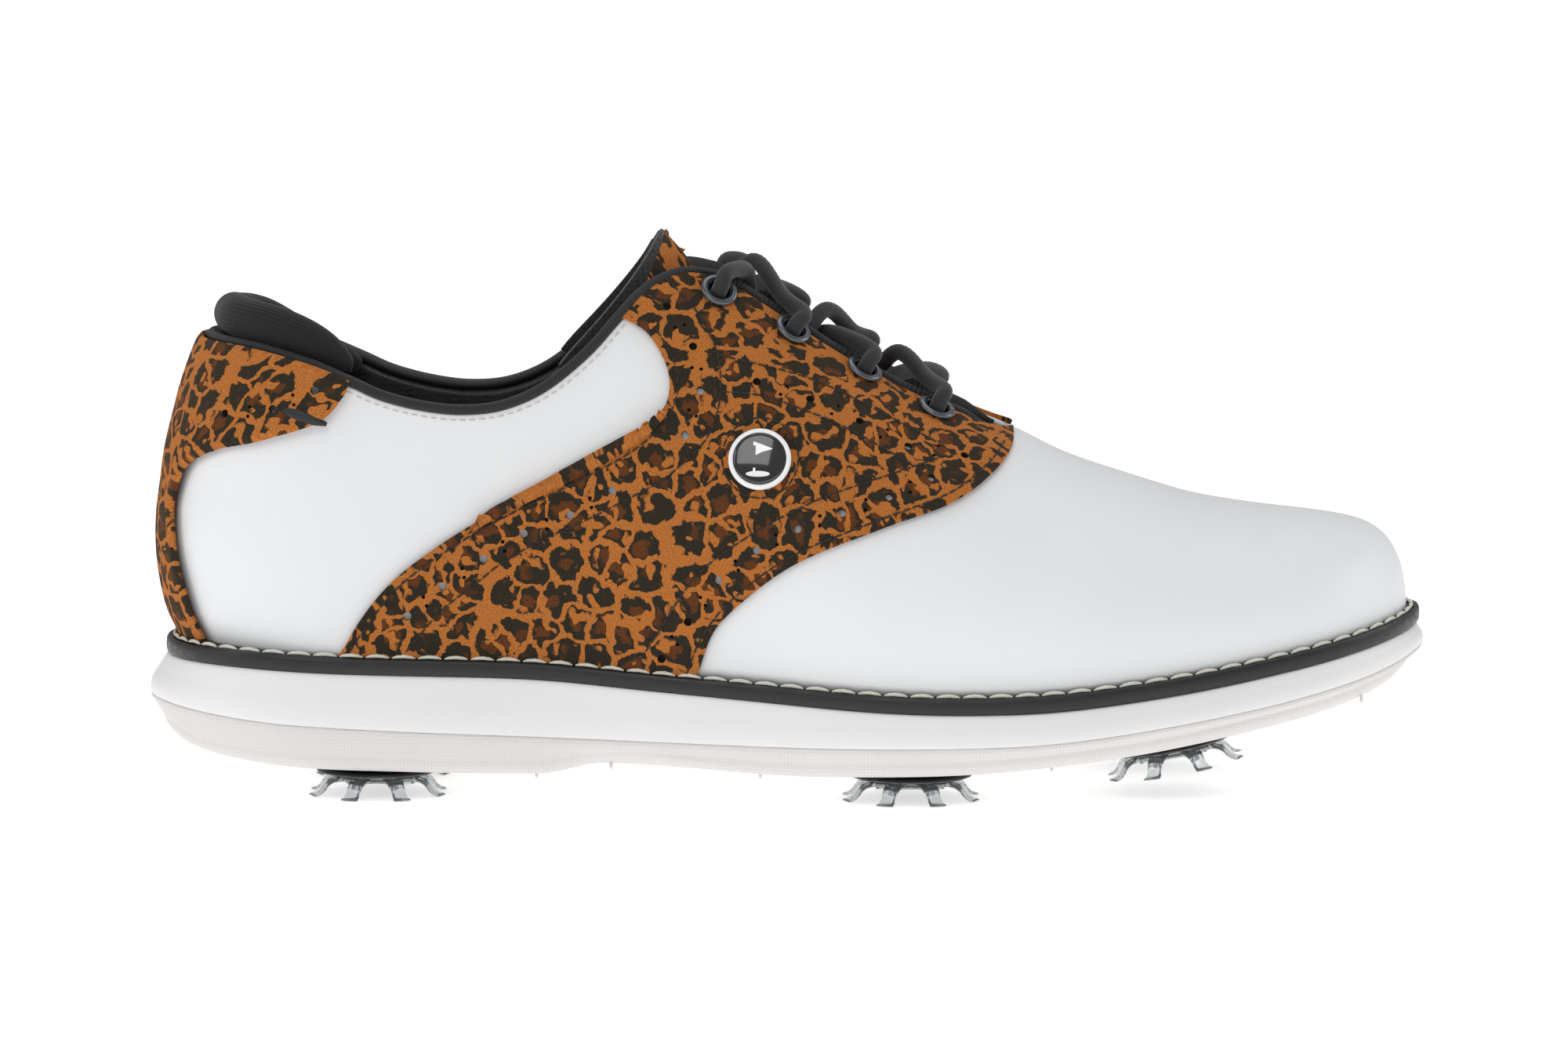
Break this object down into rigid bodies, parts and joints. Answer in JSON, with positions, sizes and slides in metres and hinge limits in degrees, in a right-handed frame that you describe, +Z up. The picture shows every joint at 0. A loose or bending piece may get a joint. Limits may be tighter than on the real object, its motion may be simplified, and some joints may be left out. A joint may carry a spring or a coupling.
{
  "type": "golf shoe",
  "caption": "Laced saddle golf shoe for the right foot: white leather upper, printed suede saddle and heel, welted foam sole and twist-in clear cleats.",
  "frame": {"origin": "on the ground, under the middle of the shoe's box", "axes": "+X to the toe, +Y to the inner (medial) side of the foot, +Z up"},
  "size_m": [0.28, 0.102, 0.1224],
  "materials": {
    "outsole_rubber": "fine moulded grid texture",
    "midsole_foam": "smooth moulded foam",
    "welt_black": "satin",
    "thread_cream": "waxed thread",
    "spring_steel": "rolled",
    "filler_cork": "pressed cork",
    "board_fibre": "fibre board",
    "footbed_textile": "knit over foam",
    "stiffener_resin": "thermoplastic sheet",
    "leather_white": "smooth coated, fine grain",
    "lining_black": "woven textile",
    "suede_print": "printed suede",
    "tab_black": "smooth",
    "binding_black": "ribbed grosgrain",
    "knit_black": "ribbed knit",
    "tongue_foam": "open-cell foam",
    "eyelet_black": "gunmetal enamel",
    "lace_black": "round braid",
    "aglet_black": "clear film over black",
    "badge_white": "enamel",
    "badge_black": "domed enamel",
    "receptacle_nylon": "moulded",
    "cleat_black": "moulded",
    "cleat_clear": "clear polyurethane"
  },
  "bodies": {
    "root": {"outsole": "outsole_rubber", "midsole": "midsole_foam", "welt": "welt_black", "welt_stitching": "thread_cream", "shank": "spring_steel", "bottom_filler": "filler_cork", "insole_board": "board_fibre", "sockliner": "footbed_textile", "heel_counter": "stiffener_resin", "toe_puff": "stiffener_resin", "vamp": "leather_white", "vamp_lining": "lining_black", "quarter_lateral": "leather_white", "quarter_medial": "leather_white", "lining_lateral": "lining_black", "lining_medial": "lining_black", "saddle_lateral": "suede_print", "saddle_medial": "suede_print", "heel_foxing": "suede_print", "foxing_tab": "tab_black", "collar_binding": "binding_black", "collar_pad": "knit_black", "eyelets_lateral": "eyelet_black", "eyelets_medial": "eyelet_black", "eyelet_washers_lateral": "eyelet_black", "eyelet_washers_medial": "eyelet_black", "lace": "lace_black", "aglets": "aglet_black", "badge_bezel": "badge_white", "badge_enamel": "badge_black", "badge_emblem": "badge_white", "badge_rivet": "spring_steel", "cleat_receptacles": "receptacle_nylon"},
    "tongue": {"tongue_face": "suede_print", "tongue_foam": "tongue_foam", "tongue_lining": "lining_black"},
    "cleat_1": {"cleat_1_hub": "cleat_black", "cleat_1_legs": "cleat_clear"},
    "cleat_2": {"cleat_2_hub": "cleat_black", "cleat_2_legs": "cleat_clear"},
    "cleat_3": {"cleat_3_hub": "cleat_black", "cleat_3_legs": "cleat_clear"},
    "cleat_4": {"cleat_4_hub": "cleat_black", "cleat_4_legs": "cleat_clear"},
    "cleat_5": {"cleat_5_hub": "cleat_black", "cleat_5_legs": "cleat_clear"},
    "cleat_6": {"cleat_6_hub": "cleat_black", "cleat_6_legs": "cleat_clear"}
  },
  "joints": [
    {"name": "cleat_1_twist", "type": "hinge", "parent": "root", "child": "cleat_1", "pos_m": [-0.0895, -0.01854, 0], "axis": [0, 0, -1], "range_deg": [0, 60]},
    {"name": "cleat_2_twist", "type": "hinge", "parent": "root", "child": "cleat_2", "pos_m": [-0.0895, 0.01546, 0], "axis": [0, 0, -1], "range_deg": [0, 60]},
    {"name": "cleat_3_twist", "type": "hinge", "parent": "root", "child": "cleat_3", "pos_m": [0.0267, -0.0271, 0], "axis": [0, 0, -1], "range_deg": [0, 60]},
    {"name": "cleat_4_twist", "type": "hinge", "parent": "root", "child": "cleat_4", "pos_m": [0.0267, 0.0269, 0], "axis": [0, 0, -1], "range_deg": [0, 60]},
    {"name": "cleat_5_twist", "type": "hinge", "parent": "root", "child": "cleat_5", "pos_m": [0.0848, -0.01762, 0.0056], "axis": [0.1822, 0, -0.9833], "range_deg": [0, 60]},
    {"name": "cleat_6_twist", "type": "hinge", "parent": "root", "child": "cleat_6", "pos_m": [0.0848, 0.02438, 0.0056], "axis": [0.1822, 0, -0.9833], "range_deg": [0, 60]},
    {"name": "tongue_fold", "type": "hinge", "parent": "root", "child": "tongue", "pos_m": [0.056, 0.001, 0.066], "axis": [0, -1, 0], "range_deg": [0, 8]}
  ]
}
